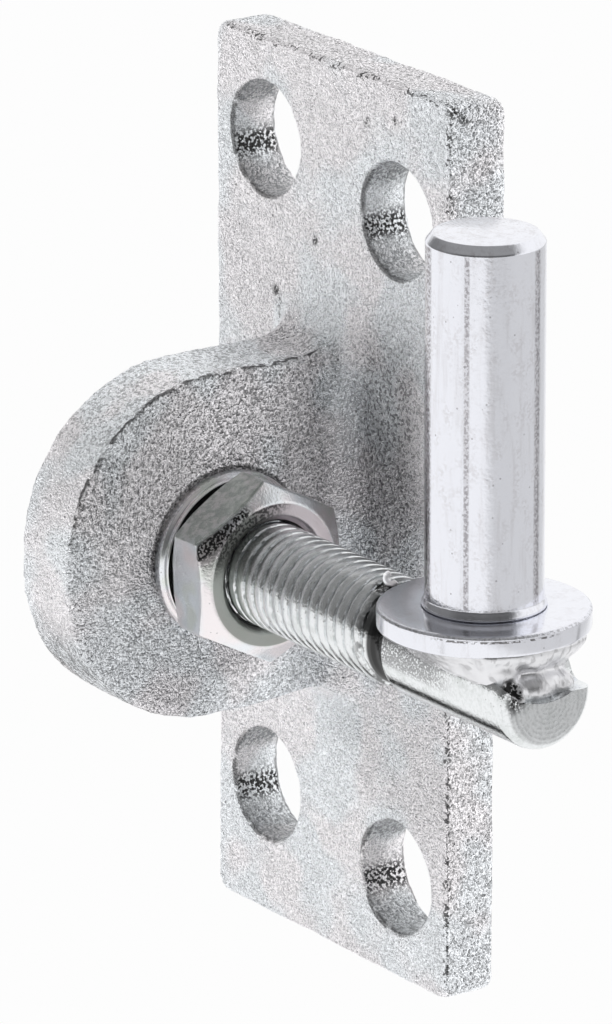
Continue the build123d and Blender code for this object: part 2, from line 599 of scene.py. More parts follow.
@dataclass(frozen=True)
class Finish:
    """A zinc finish. Subclasses say how it varies over a piece."""

    name: str
    slot: str
    metal: float = 1.0

    def paint(self, sheet: NodeSheet) -> Skin:
        """Returns the colour, roughness and relief of the finish on a node sheet."""
        raise NotImplementedError

    def dress(self, piece: bpy.types.Object) -> None:
        """Gives a piece this finish.

        Args:
            piece: The object to dress.
        """
        material = bpy.data.materials.new(self.name)
        material.use_nodes = True
        sheet = NodeSheet(material.node_tree)
        skin = self.paint(sheet)
        shader = sheet.node(
            "ShaderNodeBsdfPrincipled",
            {},
            {
                "Base Color": skin.colour,
                "Roughness": skin.roughness,
                "Normal": skin.normal,
                "Metallic": self.metal,
            },
        )
        sheet.node("ShaderNodeOutputMaterial", {}, {"Surface": shader})
        piece.data.materials.clear()
        piece.data.materials.append(material)


@dataclass(frozen=True)
class CastZones:
    """Where the casting's coat differs. Each is 1 in its place and 0 elsewhere."""

    lug_face: Signal
    lug_rim: Signal
    rim_ends: Signal
    under: Signal
    # corner is painted shade on the plate right of the lug, where the lug shades it.
    corner: Signal
    rough: Signal


@dataclass(frozen=True)
class CastZinc(Finish):
    """Grainy hot-dip coat over a sand casting. Places in millimetres."""

    pale: Colour = (0.93, 0.955, 0.985)
    rose: Colour = (0.965, 0.94, 0.96)
    # Dull grey for the specks, also used for the painted shade beside the lug and in the holes.
    dull: Colour = (0.28, 0.29, 0.30)
    deep_dirt_and_shade: Colour = (0.04, 0.04, 0.04)
    lug_middle: float = -2.05
    lug_near: float = 2.85
    lug_radius: float = 19.6
    lug_flanks: Span = (4.3, 4.8)
    lug_root: Span = (-11.0, -8.0)
    rim_root: Span = (-9.0, -7.5)
    rim_low: Span = (-14.0, -5.0)
    rim_low_front: Span = (-24.0, -16.0)
    rim_high: Span = (9.0, 15.0)
    rim_top: Span = (13.0, 17.0)
    rim_top_back: Span = (-26.0, -20.0)
    right_side: Span = (22.9, 23.2)
    top_side: Span = (51.9, 52.3)
    # Where the plate right of the lug gets painted shade, in millimetres.
    lug_shade_left: Span = (4.5, 8.5)
    lug_shade_right: Span = (14.0, 20.0)
    lug_shade_back: Span = (-13.0, -9.0)
    lug_shade_height: float = 4.0
    lug_shade_reach: Span = (12.0, 24.0)
    front_face: float = -6.6
    edge_inset: float = 0.35
    edge_wander: float = 1.2
    edge_width: Span = (0.12, 0.3)
    contact_shadow_radius: float = 10.0
    holes: tuple[Spot, ...] = ((-12.9, 40.6), (-12.9, -36.8), (12.9, 36.8), (12.9, -40.6))
    hole_radius: float = 6.5
    # Heights of the painted shade and reflection on the hole walls, counted from the hole's
    # middle.
    wall_top_shade: Span = (1.6, 4.0)
    wall_foot_shade: Span = (-5.2, -3.4)
    wall_shadow: float = -2.2
    pit_onset: Span = (0.53, 0.60)
    speck_onset: Span = (0.50, 0.60)
    pit_share: float = 0.10
    rough_pit_share: float = 0.36
    lug_shade_pit_share: float = 0.2
    speck_share: float = 0.36
    lump_depth: float = 0.40
    grit_depth: float = 0.62
    speck_depth: float = 0.18
    gloss: float = 0.22

    def zones(self, across: Signal, out: Signal, up: Signal) -> CastZones:
        """Finds the parts of the casting where the coat differs, such as the lug's faces.

        Args:
            across: The place's X, in millimetres.
            out: The place's Y, in millimetres.
            up: The place's Z, in millimetres.

        Returns:
            The parts.
        """
        lug_face = abs(across - self.lug_middle).rise(*self.lug_flanks) * out.fall(*self.lug_root)
        plate_side = across.rise(*self.right_side).most(up.rise(*self.top_side))
        lug_rim = (1 - lug_face) * out.fall(*self.rim_root)
        under = up.fall(*self.rim_low) * out.fall(*self.rim_low_front)
        worn = under + up.rise(*self.rim_top) * out.rise(*self.rim_top_back) * 0.6
        # Painted shade: the corner of the plate right of the lug, which the lug shades.
        corner = across.rise(*self.lug_shade_left) * across.fall(*self.lug_shade_right)
        corner = corner * up.near(self.lug_shade_height, *self.lug_shade_reach)
        corner = corner * out.rise(*self.lug_shade_back)
        corner = corner * out.fall(self.front_face + 0.3, self.front_face + 0.7)
        rough = (lug_face * (0.55 + up.rise(-6.0, 8.0) * 0.45)).most(plate_side * 0.85)
        # The painted shade beside the lug also gets the rough zone's pits and grain.
        rough = rough.most(lug_rim * worn).most(corner)
        rim_ends = lug_rim * under.most(up.rise(*self.rim_high))
        return CastZones(lug_face, lug_rim, rim_ends, under, corner, rough)

    def hole_walls(self, across: Signal, up: Signal) -> tuple[Signal, Signal, Signal]:
        """Finds the walls of the screw holes.

        Args:
            across: The place's X, in millimetres.
            up: The place's Z, in millimetres.

        Returns:
            1 on the walls, the height above the hole's middle, and 1 on the left and lower rims.
        """
        walls, level, rims = None, None, None
        for hole in self.holes:
            side, height, reach = NodeSheet.reach(across, up, hole)
            wall = reach.fall(self.hole_radius + 0.1, self.hole_radius + 0.5)
            rim = reach.near(self.hole_radius + 0.3, *self.edge_width)
            rim = rim * (side + height * 0.6).fall(-4.0, 0.0)
            walls = wall if walls is None else walls.most(wall)
            level = wall * height if level is None else level + wall * height
            rims = rim if rims is None else rims.most(rim)
        return walls, level, rims

    def edges(
        self, across: Signal, out: Signal, up: Signal, wander: Signal
    ) -> tuple[Signal, Signal]:
        """Finds the crisp edges of the casting.

        Args:
            across: The place's X, in millimetres.
            out: The place's Y, in millimetres.
            up: The place's Z, in millimetres.
            wander: A slow noise that moves the edges a little.

        Returns:
            1 on the near edge of the lug's round, and 1 on the front edges of the plate.
        """
        side, height = (out - LUG_NOSE[0]).least(0.0), up - LUG_NOSE[1]
        reach = (side * side + height * height).root() - (0 - height).rise(0.0, 9.0) * 0.9
        line = across - self.lug_near + self.edge_inset + (wander - 0.5) * self.edge_wander
        line = abs(line).fall(*self.edge_width)
        round_edge = reach.rise(self.lug_radius - 0.6, self.lug_radius - 0.35)
        front = out.fall(self.front_face + 0.35, self.front_face + 0.75)
        right = across.rise(22.2, 22.55) * across.fall(23.1, 23.4)
        top = up.rise(51.6, 51.9) * up.fall(52.4, 52.7)
        return line * round_edge * out.fall(-10.5, -9.0), front * right.most(top)

    def paint(self, sheet: NodeSheet) -> Skin:
        """Returns a grainy coat with pinholes and sooty pits, rougher in the casting's zones, with
        painted shade beside the lug, in the holes, round the washer and under the lug's round, and
        a painted highlight along the edges.
        """
        across, out, up = sheet.parts()
        zones = self.zones(across, out, up)
        speck, grit = sheet.noise(0.21, 0.5, 0.5), sheet.noise(0.42, 1.0, 0.5)
        lump, blotch = sheet.noise(1.1, 1.0, 0.5), sheet.noise(6.0, 3.0, 0.6)
        broken = sheet.noise(1.8, 2.0)
        lug_edge, plate_edge = self.edges(across, out, up, broken)
        # Painted highlight: the lug's near edge and the plate's front edges are kept free of
        # specks and pits, so that they show as pale lines.
        off_edge_highlight = 1 - lug_edge.most(plate_edge) * 0.8

        coat = sheet.blend(sheet.noise(9.0, 1.0).rise(0.42, 0.58), self.pale, self.rose)
        fine = speck.rise(*self.speck_onset) * self.speck_share + blotch.rise(0.45, 0.7) * 0.08
        colour = sheet.blend(fine * off_edge_highlight, coat, self.dull)
        # Pits are thicker in the painted shade beside the lug.
        share = self.pit_share + zones.rough * self.rough_pit_share
        pits = grit.rise(*self.pit_onset) * (share + zones.corner * self.lug_shade_pit_share)
        # Flow lines on the lug's rim under the round, darkened there as painted shade where the
        # rim faces down and to the front, and pits on both ends of the rim.
        streaks_and_underside_shade = sheet.noise(0.7, 2.0, 0.6, (1.0, 0.25, 0.25)).rise(0.50, 0.57) * 0.6
        streaks_and_underside_shade = zones.lug_rim * zones.under * streaks_and_underside_shade
        streaks_and_underside_shade = streaks_and_underside_shade.most(zones.rim_ends * grit.rise(0.52, 0.57) * 0.42)
        colour = sheet.blend((pits * off_edge_highlight).most(streaks_and_underside_shade), colour, self.deep_dirt_and_shade)
        # Painted shade: the plate right of the lug is darkened.
        colour = sheet.blend(zones.corner * across.rise(4.0, 9.0) * 0.35, colour, self.dull)

        walls, level, rims = self.hole_walls(across, up)
        # Painted shade and reflection on the hole walls: darker towards their top and their foot,
        # with a painted shadow band below their middle.
        wall_shade = level.rise(*self.wall_top_shade) * 0.9 + level.fall(*self.wall_foot_shade) * 0.6
        wall_shade = wall_shade * (0.5 + grit.rise(0.42, 0.58) * 0.8)
        colour = sheet.blend(walls * (0.05 + wall_shade), colour, self.dull)
        shadow = level.near(self.wall_shadow, 0.6, 2.6)
        shadow = walls * shadow * sheet.noise(0.36, 1.0, 0.5).rise(0.44, 0.52)

        pinholes = sheet.flecks(1.5, 0.06, 0.15) * sheet.noise(3.2, 2.0, 0.5).rise(0.52, 0.62)
        chips = lug_edge * up.rise(1.0, 5.0) * broken.rise(0.42, 0.5)
        chips = chips.most(plate_edge * grit.rise(0.50, 0.54) * broken.rise(0.47, 0.51))
        # The left and lower rims of the screw holes are darkened as well, broken up by noise.
        chips = chips.most(rims * broken.rise(0.40, 0.5) * 0.8)
        # Painted shadow: a dark ring on the lug's face round the washer's rim.
        seat = NodeSheet.reach(out, up, SHANK_AXIS)[2].near(self.contact_shadow_radius, 0.15, 0.5)
        seat = zones.lug_face * seat * (up - out * 0.3).rise(2.0, 9.0) * 0.75
        # This dirt holds real pinholes, soot and chips, and also the painted shadows in the holes
        # and round the washer.
        dirt = (pinholes * 0.8).most(sheet.soot(1.8, grit.rise(0.36, 0.52)))
        dirt = dirt.most(chips * 0.85).most(shadow).most(seat)
        colour = sheet.blend(dirt, colour, self.deep_dirt_and_shade)

        rough_lumps = zones.rough.most(zones.rim_ends)
        relief = sheet.bump(lump * (0.6 + rough_lumps * 0.6), self.lump_depth)
        relief = sheet.bump(grit * (0.5 + zones.rough * 0.8), self.grit_depth, relief)
        relief = sheet.bump(speck, self.speck_depth, relief)
        return Skin(colour, self.gloss + speck * 0.2, relief)


@dataclass(frozen=True)
class PlatedZinc(Finish):
    """Bright plating on nuts and washers, faintly tinted by its passivation."""

    blue: Colour = (0.90, 0.93, 0.96)
    rose: Colour = (0.96, 0.91, 0.92)
    green: Colour = (0.84, 0.87, 0.83)
    fleck: Colour = (0.25, 0.25, 0.25)
    gloss: float = 0.2

    def tint(self, sheet: NodeSheet) -> Signal:
        """Returns the drifting tints of the plating with fine dark flecks."""
        tint = sheet.blend(sheet.noise(5.0, 1.0).rise(0.4, 0.6), self.blue, self.rose)
        tint = sheet.blend(sheet.noise(3.5, 1.0).rise(0.5, 0.68), tint, self.green)
        return sheet.blend(sheet.flecks(0.9, 0.05, 0.12) * 0.5, tint, self.fleck)

    def paint(self, sheet: NodeSheet) -> Skin:
        """Returns a tinted plating with light scratches."""
        scratch = sheet.noise(0.5, 2.0, 0.6, (1.0, 5.0, 1.0))
        relief = sheet.bump(sheet.noise(1.6, 2.0), 0.03)
        relief = sheet.bump(scratch, 0.012, relief)
        return Skin(self.tint(sheet), self.gloss + scratch * 0.12, relief)


@dataclass(frozen=True)
class NutZinc(PlatedZinc):
    """Nut plating: a dull ring on the front with a painted rosy reflection, one flat darkened by a
    tint and a painted reflection of the lug, soot on the chamfer beside it, and painted shade in
    the recess and on the back.

    "inner" is the inner face's X, and "outward" is 1 or -1 for the way that the front looks.
    Heights count from the inner face and radii from the axis, all in millimetres.
    """

    inner: float = 5.25
    outward: int = 1
    back_shade_height: Span = (0.6, 0.85)
    chamfer_height: Span = (5.55, 5.85)
    recess_shade_height: Span = (5.95, 6.25)
    countersink_height: Span = (6.05, 6.15)
    front_height: Span = (6.88, 6.96)
    face_radius: float = 8.2
    countersink_radius: float = 6.95
    bore_radius: float = 6.3
    flat_reach: float = 9.35
    dark_flat_turn: float = 122.7
    ring_tone: Colour = (0.42, 0.44, 0.41)
    ring_reflected_rose: Colour = (0.76, 0.69, 0.72)
    flat_tint_and_reflection: Colour = (0.42, 0.46, 0.43)

    def paint(self, sheet: NodeSheet) -> Skin:
        """Returns the plating with its tint, soot, painted reflections and painted shade."""
        across, out, up = sheet.parts()
        side, height, reach = NodeSheet.reach(out, up, SHANK_AXIS)
        turn = math.radians(self.dark_flat_turn)
        towards = side * math.cos(turn) + height * math.sin(turn)
        beside = height * -math.cos(turn) + side * math.sin(turn)
        speckle = sheet.noise(0.28, 1.0, 0.5)
        along = (across - self.inner) * self.outward

        sunk = reach.fall(self.countersink_radius, self.countersink_radius + 0.05)
        sunk = along.rise(*self.countersink_height) * sunk
        ring = reach.fall(self.face_radius - 0.05, self.face_radius + 0.1)
        ring = along.rise(*self.front_height).most(sunk) * ring
        # The ring's dull tone is its own; the rose towards its upper right is a painted
        # reflection.
        reflected_rose = (side * 0.8 + height * 0.6).rise(1.0, 5.0)
        colour = sheet.blend(reflected_rose, self.ring_tone, self.ring_reflected_rose)
        colour = sheet.blend(ring * 0.9, self.tint(sheet), colour)

        # The flat that faces up and left is darkened, partly by a tint and partly as a painted
        # reflection of the lug's shaded face.
        flat = towards.rise(self.flat_reach - 0.3, self.flat_reach - 0.05)
        stained = flat * (0.55 + sheet.noise(0.9, 4.0, 0.65).rise(0.42, 0.58) * 0.4)
        colour = sheet.blend(stained, colour, self.flat_tint_and_reflection)

        chamfer = along.rise(*self.chamfer_height) * (1 - flat) * (1 - ring)
        chamfer = chamfer * towards.rise(7.0, 7.9) * beside.fall(0.8, 2.8)
        upper = towards.rise(4.5, 7.0) * (0.3 + speckle.rise(0.44, 0.54) * 0.5)
        sooty = (chamfer * (0.3 + speckle.rise(0.42, 0.52) * 0.7)).most(ring * upper)
        # Painted shade in the recess round the bore, darkest towards the upper right and the lower
        # left.
        recess_shade = reach.fall(self.bore_radius - 0.12, self.bore_radius)
        recess_shade = along.rise(*self.recess_shade_height) * recess_shade
        recess_shadow = recess_shade * (0.3 + abs(side + height).rise(3.0, 7.0) * 0.6)
        # Painted shade on the nut's back, next to the washer.
        back = along.fall(*self.back_shade_height) * 0.9
        colour = sheet.blend(sooty.most(recess_shadow).most(back), colour, SOOT_AND_SHADE_BLACK)

        relief = sheet.bump(speckle, 0.03)
        relief = sheet.bump(sheet.noise(1.6, 2.0), 0.04, relief)
        return Skin(colour, self.gloss + speckle * 0.1 + sooty * 0.3 + ring * 0.12, relief)


@dataclass(frozen=True)
class WasherZinc(PlatedZinc):
    """Washer plating, with painted shade in the groove of the rim and next to the nut."""

    shade_radius: float = 9.3
    frosted_rim: Span = (9.74, 9.78)

    def paint(self, sheet: NodeSheet) -> Skin:
        """Returns the plating with painted shade in its groove and next to the nut, and a frosted
        rim.
        """
        _, out, up = sheet.parts()
        _, _, reach = NodeSheet.reach(out, up, SHANK_AXIS)
        # Painted shade: black inward of the rim's groove, next to the nut.
        inside = reach.fall(self.shade_radius - 0.1, self.shade_radius)
        frost = reach.rise(*self.frosted_rim)
        speckle = sheet.noise(0.3, 1.0, 0.5)
        colour = sheet.blend(inside * 0.95, self.tint(sheet), SOOT_AND_SHADE_BLACK)
        colour = sheet.blend(frost * speckle.rise(0.5, 0.6) * 0.3, colour, SOOT_AND_SHADE_BLACK)
        relief = sheet.bump(speckle * frost, 0.08)
        return Skin(colour, self.gloss + frost * 0.2, relief)


@dataclass(frozen=True)
class ShankZinc(Finish):
    """Plating on the threaded shank: silky on the thread, glossy and stained on the plain end."""

    pale: Colour = (0.88, 0.90, 0.91)
    dull: Colour = (0.62, 0.65, 0.64)
    # Black for the flecks, grime and soot, also used for painted shade in the roots, the neck and
    # round the curl.
    grime_and_shade: Colour = (0.06, 0.06, 0.06)
    stain: Colour = (0.36, 0.36, 0.37)
    root_shade_span: Span = (5.3, 5.72)
    late_turns: Span = (35.0, 38.0)
    neck_shade_start: Span = (38.0, 38.3)
    neck_shade_end: Span = (41.0, 41.3)
    patch_end: Span = (50.0, 56.0)
    patch_low: Span = (-3.4, -2.2)
    patch_side: Span = (-27.0, -25.0)
    end: float = 64.3
    ring_centre: Spot = (-22.5, -2.4)
    ring_pitch: float = 0.55
    gloss: float = 0.18

    def paint(self, sheet: NodeSheet) -> Skin:
        """Returns a plating with painted shade in the thread roots and the neck, grime and painted
        shade on the last turns, a patch under the collar and a turned end.
        """
        across, out, up = sheet.parts()
        _, _, reach = NodeSheet.reach(out, up, SHANK_AXIS)
        plain = across.rise(THREAD_END - 1.0, THREAD_END + 1.0)
        cloud, speckle = sheet.noise(2.2, 3.0, 0.6), sheet.noise(0.35, 2.0, 0.6)
        mottle = cloud.rise(0.45, 0.75) * 0.5 + plain * speckle.rise(0.45, 0.6) * 0.22
        colour = sheet.blend(mottle, self.pale, self.dull)
        flecks = sheet.flecks(0.8, 0.05, 0.12) * cloud.rise(0.4, 0.5)
        colour = sheet.blend(flecks * 0.7, colour, self.grime_and_shade)

        late = across.rise(*self.late_turns)
        # Painted shade in the thread's roots and in the neck where the thread runs out.
        root = reach.fall(*self.root_shade_span) * (1 - plain) * (0.75 + late * 0.25)
        neck = across.rise(*self.neck_shade_start) * across.fall(*self.neck_shade_end) * 0.95
        # Grime on the last turns, darker there as painted shade round the zinc curl.
        late_grime_and_shade = late * (1 - plain) * cloud.rise(0.4, 0.52) * 0.8
        colour = sheet.blend(root.most(neck).most(late_grime_and_shade), colour, self.grime_and_shade)
        patch = plain * across.fall(*self.patch_end) * up.rise(*self.patch_low)
        patch = patch * out.fall(*self.patch_side) * sheet.noise(0.2, 0.5).rise(0.38, 0.54)
        colour = sheet.blend(patch * 0.85, colour, self.stain)

        face = across.rise(self.end - 0.25, self.end - 0.1)
        wide = NodeSheet.reach(out, up, self.ring_centre)[2] + cloud * 0.3
        rings = wide.ripple(self.ring_pitch) * face
        colour = sheet.blend(rings * speckle.rise(0.35, 0.6) * 0.35, colour, self.stain)
        colour = sheet.blend(face * 0.3, colour, self.stain)
        # Soot in the pressed hollows; beside the zinc curl it is a painted shadow.
        colour = sheet.blend(sheet.soot(1.7, speckle.rise(0.40, 0.5)), colour, self.grime_and_shade)

        relief = sheet.bump(speckle, 0.03)
        relief = sheet.bump(rings, 0.02, relief)
        relief = sheet.bump(patch, 0.03, relief)
        roughness = self.gloss - plain * 0.1 + cloud * 0.06 + face * 0.16 + patch * 0.2
        return Skin(colour, roughness, relief)


@dataclass(frozen=True)
class DieLineAndReflection:
    """A faint lengthwise line down the pin: partly a die line, partly a painted reflection of the
    lug and the dark surround. Its direction is a unit vector from the pin's axis.
    """

    toward: Spot
    half_width: float
    share: float


@dataclass(frozen=True)
class TurnedZinc(Finish):
    """Glossy plating on turned steel, with the rings that the tool left on its end.

    The pin's side begins at the radius "pin_side", from the height "pin_low" to "pin_high", and
    "rim" and "rim_top" are the collar's radius and its top's height. All in millimetres.
    """

    pale: Colour = (0.885, 0.895, 0.95)
    dull: Colour = (0.72, 0.71, 0.74)
    dirt: Colour = (0.12, 0.11, 0.11)
    # Colour of the lengthwise lines, partly die lines and partly painted reflections.
    line: Colour = (0.20, 0.18, 0.19)
    centre: Spot = (52.4, -22.6)
    ring_pitch: float = 0.42
    ring_depth: float = 0.01
    gloss: float = 0.1
    pin_side: Span = (6.2, 6.4)
    pin_low: Span = (6.6, 7.2)
    pin_high: Span = (46.2, 46.5)
    pin_top: Span = (47.3, 47.45)
    rim: float = 11.55
    rim_top: float = 5.8
    worn_side: Spot = (0.879, -0.477)
    wear: float = 0.6
    die_lines_and_reflections: tuple[DieLineAndReflection, ...] = (
        DieLineAndReflection((0.595, -0.803), 2.0, 0.7),
        DieLineAndReflection((0.92, 0.387), 3.6, 0.65),
        DieLineAndReflection((-0.37, -0.93), 7.5, 0.9),
    )

    def paint(self, sheet: NodeSheet) -> Skin:
        """Returns a glossy plating with rings about the axis, faint streaks along it, and
        lengthwise lines that are partly painted reflections.
        """
        across, out, up = sheet.parts()
        right, back, reach = NodeSheet.reach(across, out, self.centre)
        rings = reach.ripple(self.ring_pitch)
        streak = sheet.noise(1.2, 3.0, 0.6, (1.0, 1.0, 0.12))
        mottle = sheet.noise(1.5, 3.0, 0.6, (1.0, 1.0, 0.5))
        grain = sheet.noise(0.4, 1.0, 0.5)
        colour = sheet.blend(streak.rise(0.5, 0.75) * 0.5, self.pale, self.dull)
        top_rings = rings * up.rise(*self.pin_top) * streak.rise(0.4, 0.6) * 0.35
        colour = sheet.blend(top_rings, colour, self.dull)

        facing = (right * self.worn_side[0] + back * self.worn_side[1]) / reach
        band = up.rise(self.rim_top - 0.45, self.rim_top - 0.3)
        band = reach.rise(self.rim - 0.2, self.rim) * band
        edge = reach.rise(self.rim - 0.1, self.rim) * up.near(self.rim_top - 0.6, 0.04, 0.2)
        worn = edge * facing.rise(0.78, 0.88) * sheet.noise(0.45, 2.0, 0.6).rise(0.46, 0.54)
        dirt = (sheet.flecks(1.6, 0.04, 0.09) * 0.5).most(worn * 0.9)
        dirt = dirt.most(band * grain.rise(0.52, 0.6) * 0.35)
        colour = sheet.blend(dirt, colour, self.dirt)

        # Dark lengthwise lines: partly die lines, partly painted reflections of the lug and the
        # dark surround.
        for line in self.die_lines_and_reflections:
            facing = (right * line.toward[0] + back * line.toward[1]) / reach
            core = math.cos(math.radians(line.half_width))
            fringe = math.cos(math.radians(line.half_width * 2))
            drawn = 0.35 + sheet.noise(0.35, 2.0, 0.6).rise(0.42, 0.56) * 0.65
            drawn = facing.rise(fringe, core) * drawn * reach.rise(*self.pin_side)
            drawn = drawn * up.fall(*self.pin_high) * up.rise(*self.pin_low)
            colour = sheet.blend((drawn * line.share).least(1.0), colour, self.line)
        wear = mottle.rise(0.45, 0.7) * grain.rise(0.4, 0.6) * self.wear
        colour = sheet.blend(wear, colour, self.dull)

        relief = sheet.bump(rings, self.ring_depth)
        relief = sheet.bump(sheet.noise(2.5, 2.0), 0.02, relief)
        relief = sheet.bump(mottle * grain, self.wear * 0.05, relief)
        relief = sheet.bump(grain * band, 0.08, relief)
        return Skin(colour, self.gloss + streak * 0.1 + band * 0.2, relief)


@dataclass(frozen=True)
class WeldZinc(Finish):
    """Lumpy coat over the weld, bright where it ran and dark in its folds."""

    pale: Colour = (0.88, 0.88, 0.90)
    dull: Colour = (0.42, 0.42, 0.43)
    grainy_end: Span = (50.5, 55.5)
    grainy_low: Span = (1.2, 2.6)
    gloss: float = 0.26

    def paint(self, sheet: NodeSheet) -> Skin:
        """Returns a patchy coat with flow lines, a grainy left end and a sooty pit."""
        across, _, up = sheet.parts()
        patch, speckle = sheet.noise(1.6, 3.0, 0.6), sheet.noise(0.5, 2.0, 0.6)
        grain = sheet.noise(0.22, 0.5) * across.fall(*self.grainy_end) * up.fall(*self.grainy_low)
        flow = sheet.noise(0.8, 1.5, 0.5, (0.25, 1.2, 0.8))
        colour = sheet.blend(patch.rise(0.5, 0.8) * 0.3, self.pale, self.dull)
        colour = sheet.blend(flow.rise(0.54, 0.66) * 0.55, colour, self.dull)
        colour = sheet.blend(grain.rise(0.28, 0.5) * 0.85, colour, self.dull)
        colour = sheet.blend(sheet.soot(1.7, speckle.rise(0.40, 0.5)), colour, SOOT_AND_SHADE_BLACK)
        relief = sheet.bump(flow, 0.08)
        relief = sheet.bump(speckle, 0.025, relief)
        relief = sheet.bump(grain, 0.08, relief)
        return Skin(colour, self.gloss + patch * 0.2 + grain * 0.3, relief)


def centre_of(node: str) -> Vector:
    """Returns the middle of a CAD node's box, in metres."""
    low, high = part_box(node)
    return (low + high) / 2


@dataclass
class Casting:
    """The wall plate with its lug, one sand casting dipped in zinc."""

    cell: float = 0.41
    smoothing: int = 1
    grains: tuple[Grain, ...] = (Grain(14.0, 0.3), Grain(3.5, 0.2), Grain(1.2, 0.2))
    dents: tuple[Dent, ...] = (
        Dent((23.1, -5.9, 51.6), 1.2, 0.5, 0.7),
        Dent((23.3, -4.8, 50.4), 0.7, 0.2, 0.6),
        Dent((7.3, -6.6, 47.0), 0.6, 0.25, 0.9),
        Dent((-2.9, -6.6, 30.9), 0.6, 0.25, 0.9),
        Dent((12.6, -6.6, 48.2), 0.6, 0.2, 0.7),
        # These three hollows make a dark line along the crease at the top of the lug's root.
        Dent((-10.8, -6.8, 23.2), 0.9, 0.2, 0.7),
        Dent((-10.2, -7.0, 21.9), 0.9, 0.2, 0.8),
        Dent((-9.5, -7.3, 20.6), 0.9, 0.2, 0.7),
    )
    bulge: float = 0.5
    bulge_start: float = 17.0
    bulge_run: float = 5.0
    corner_bulge: float = 1.6
    corner_low: float = 22.0
    corner_run: float = 10.0
    corner_front: float = -4.5
    corner_depth: float = 3.0
    lug_sag: float = 0.95
    sag_start: float = -9.0
    sag_run: float = 9.0
    sag_radius: float = 14.0
    sag_ring: float = 4.0

    def swell(self, casting: bpy.types.Object) -> None:
        """Swells the plate's right edge and the lower side of the lug's round.

        Args:
            casting: The casting's skin.
        """
        points = Bench.points(casting)
        across, out, up = points.T.copy()
        corner = ramp(up, self.corner_low, self.corner_run)
        corner = corner * ramp(out, self.corner_front, self.corner_depth)
        swelling = self.bulge + self.corner_bulge * corner
        points[:, 0] += ramp(across, self.bulge_start, self.bulge_run) * swelling
        side, height = np.minimum(out - LUG_NOSE[0], 0), up - LUG_NOSE[1]
        reach = np.maximum(np.hypot(side, height), 1.0)
        sag = ramp(height, 0.0, -self.sag_run) * ramp(reach, self.sag_radius, self.sag_ring)
        sag = sag * ramp(out, self.sag_start, -self.sag_run) * self.lug_sag
        points[:, 1] += sag * side / reach
        points[:, 2] += sag * height / reach
        Bench.set_points(casting, points)

    def build(self) -> list[bpy.types.Object]:
        """Makes and dresses the casting.

        Returns:
            The finished pieces.
        """
        casting = Bench.copy_node("bracket", "cast_plate_and_lug")
        Bench.reskin(casting, self.cell, self.smoothing)
        self.swell(casting)
        Bench.roughen(casting, self.grains)
        Bench.press(casting, self.dents)
        CastZinc("cast_zinc", "cast_zinc_coat", metal=0.75).dress(casting)
        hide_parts("bracket")
        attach(casting, "bracket")
        return [casting]


@dataclass
class Fastenings:
    """A thin nut and a washer on each side of the lug."""

    nut_cell: float = 0.16
    nut_smoothing: int = 3
    washer_bore: float = 6.5
    washer_rounding: Rounding = Rounding(0.05, 2, 18.0)
    washer_steps: tuple[Spot, ...] = (
        (1.45, 0.0),
        (0.98, 0.28),
        (0.92, 0.62),
        (0.78, 0.62),
        (0.72, 0.36),
        (0.4, 0.5),
        (0.32, 1.1),
        (0.0, 1.1),
    )
    steps: int = 96
    crease: float = 35.0

    def nut(self, node: str, name: str, coat: NutZinc) -> bpy.types.Object:
        """Makes one nut from its CAD shape with plated, softened edges.

        Args:
            node: The CAD node that it stands for.
            name: The piece's name.
            coat: Its finish.

        Returns:
            The nut.
        """
        nut = Bench.copy_node(node, name)
        Bench.reskin(nut, self.nut_cell, self.nut_smoothing)
        coat.dress(nut)
        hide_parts(node)
        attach(nut, node)
        return nut

    def washer(self, node: str, name: str) -> bpy.types.Object:
        """Makes one washer with a rounded rim.

        Args:
            node: The CAD node that it stands for.
            name: The piece's name.

        Returns:
            The washer.
        """
        low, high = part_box(node)
        half = (high.x - low.x) / 2 / MM
        rim = (high.z - low.z) / 2 / MM
        outward = 1 if node == "near_washer" else -1
        ring = [(-half * outward, self.washer_bore), (-half * outward, rim)]
        ring += [((half - step) * outward, rim - drop) for step, drop in self.washer_steps]
        ring += [(half * outward, self.washer_bore)]
        washer = Bench.lathe(name, ring + ring[:1], centre_of(node), Axis.SHANK, self.steps)
        Bench.soften(washer, self.washer_rounding)
        Bench.shade(washer, self.crease)
        WasherZinc("washer_plating", "washer_zinc").dress(washer)
        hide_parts(node)
        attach(washer, "bracket")
        return washer

    def build(self) -> list[bpy.types.Object]:
        """Makes and dresses both nuts and both washers.

        Returns:
            The finished pieces.
        """
        near_coat = NutZinc("nut_plating", "nut_zinc")
        far_coat = NutZinc("far_nut_plating", "nut_zinc", inner=-9.35, outward=-1)
        return [
            self.nut("near_nut", "nut_near", near_coat),
            self.nut("far_nut", "nut_far", far_coat),
            self.washer("near_washer", "washer_near"),
            self.washer("far_washer", "washer_far"),
        ]


